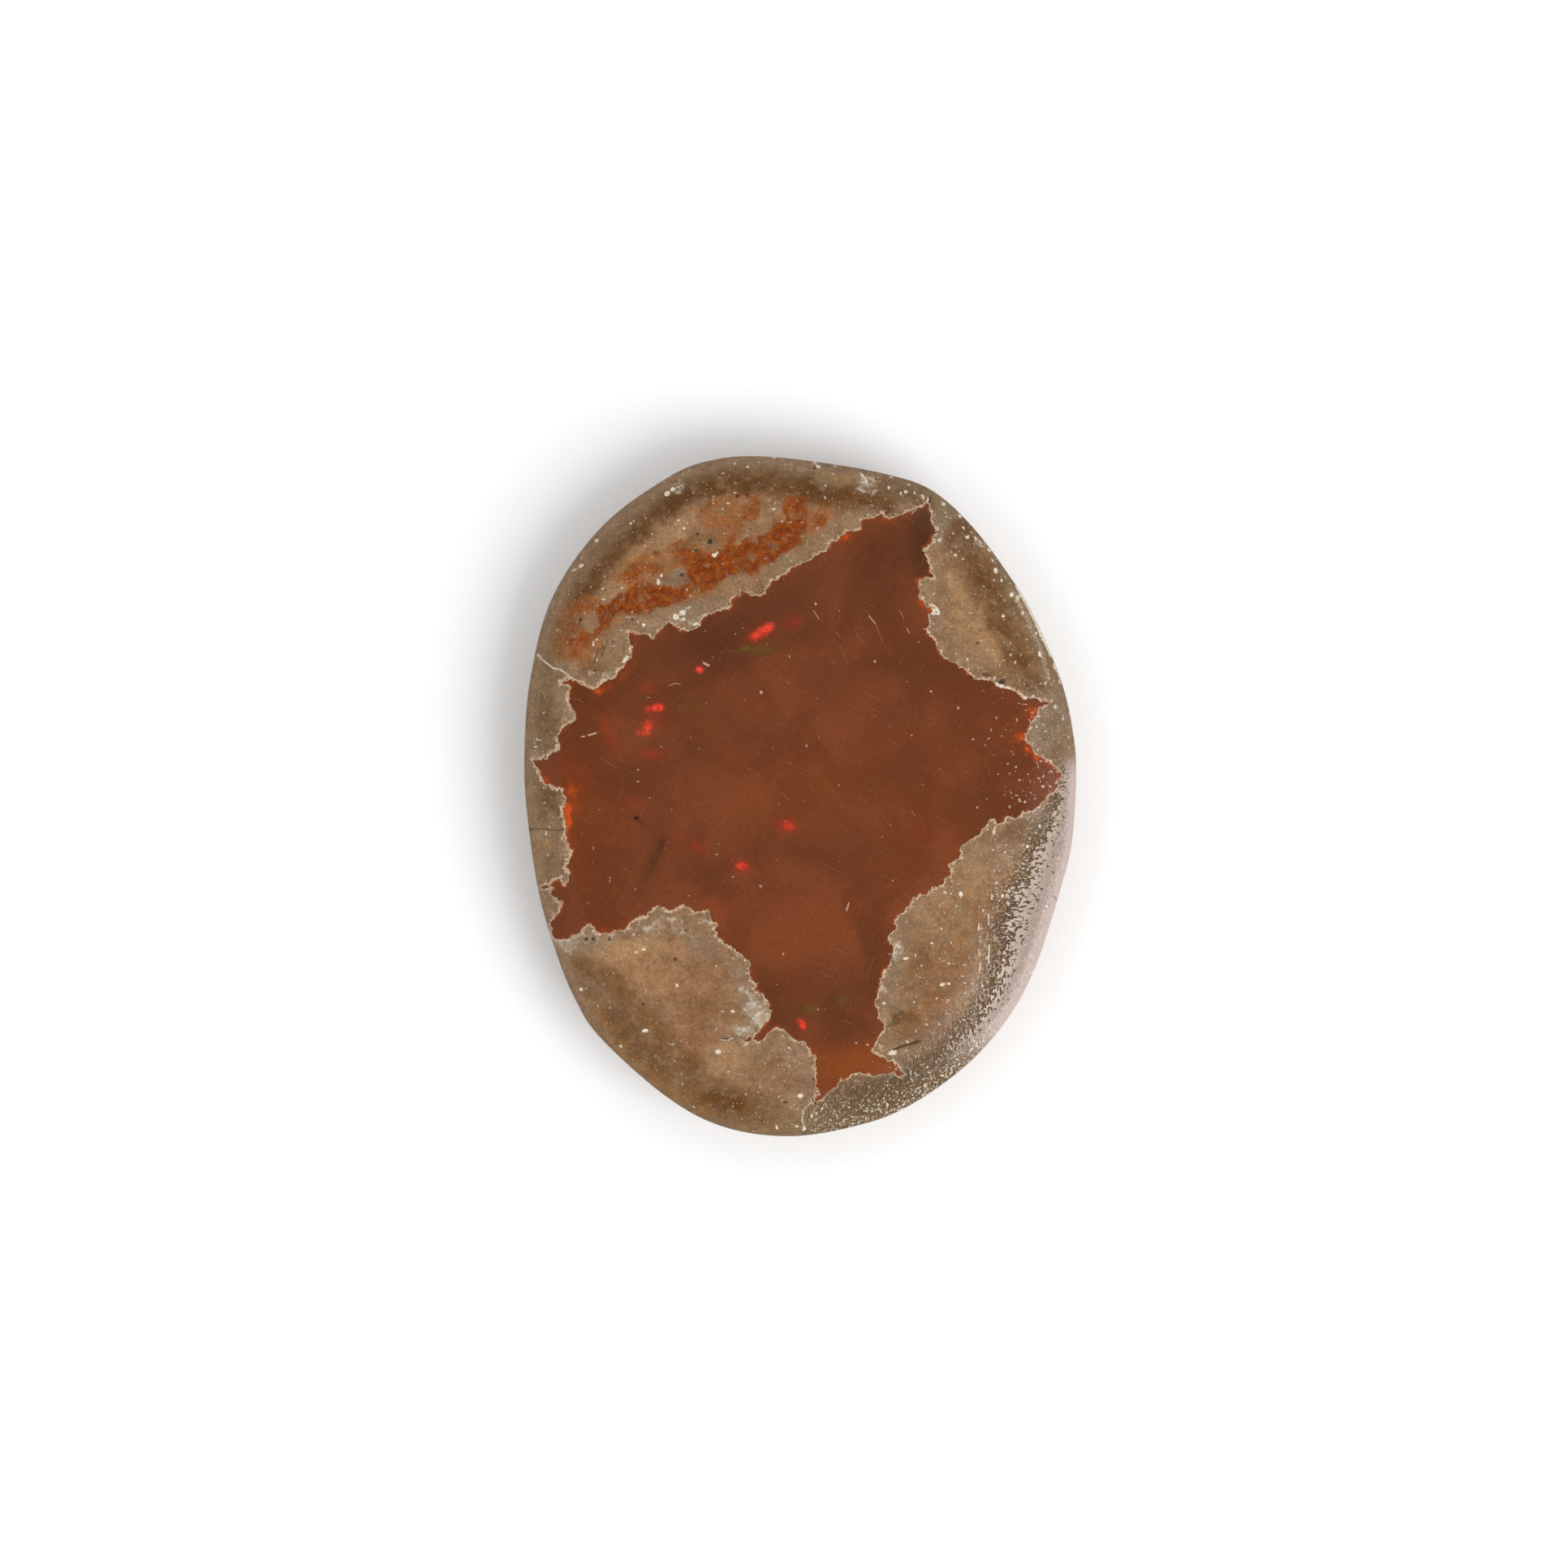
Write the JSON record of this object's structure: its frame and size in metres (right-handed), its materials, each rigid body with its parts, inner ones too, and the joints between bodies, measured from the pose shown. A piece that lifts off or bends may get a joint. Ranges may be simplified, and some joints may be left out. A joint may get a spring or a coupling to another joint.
{
  "type": "opal",
  "caption": "Polished freeform oval stone with a low domed face: a spiky star of brown opal set flush in grey-tan host rock, flat back.",
  "frame": {"origin": "middle of the stone's outline box, on the flat back", "axes": "+Z out of the polished face, +Y along the stone's length, towards the rust-stained end, +X to the right of someone who looks down on the face"},
  "size_m": [0.0332, 0.0408, 0.007],
  "materials": {
    "opal_stone": "polished brown opal star in grey-tan volcanic rock, orange-peel sheen on the rim's shoulder"
  },
  "bodies": {
    "root": {"opal_stone": "opal_stone"}
  },
  "joints": []
}
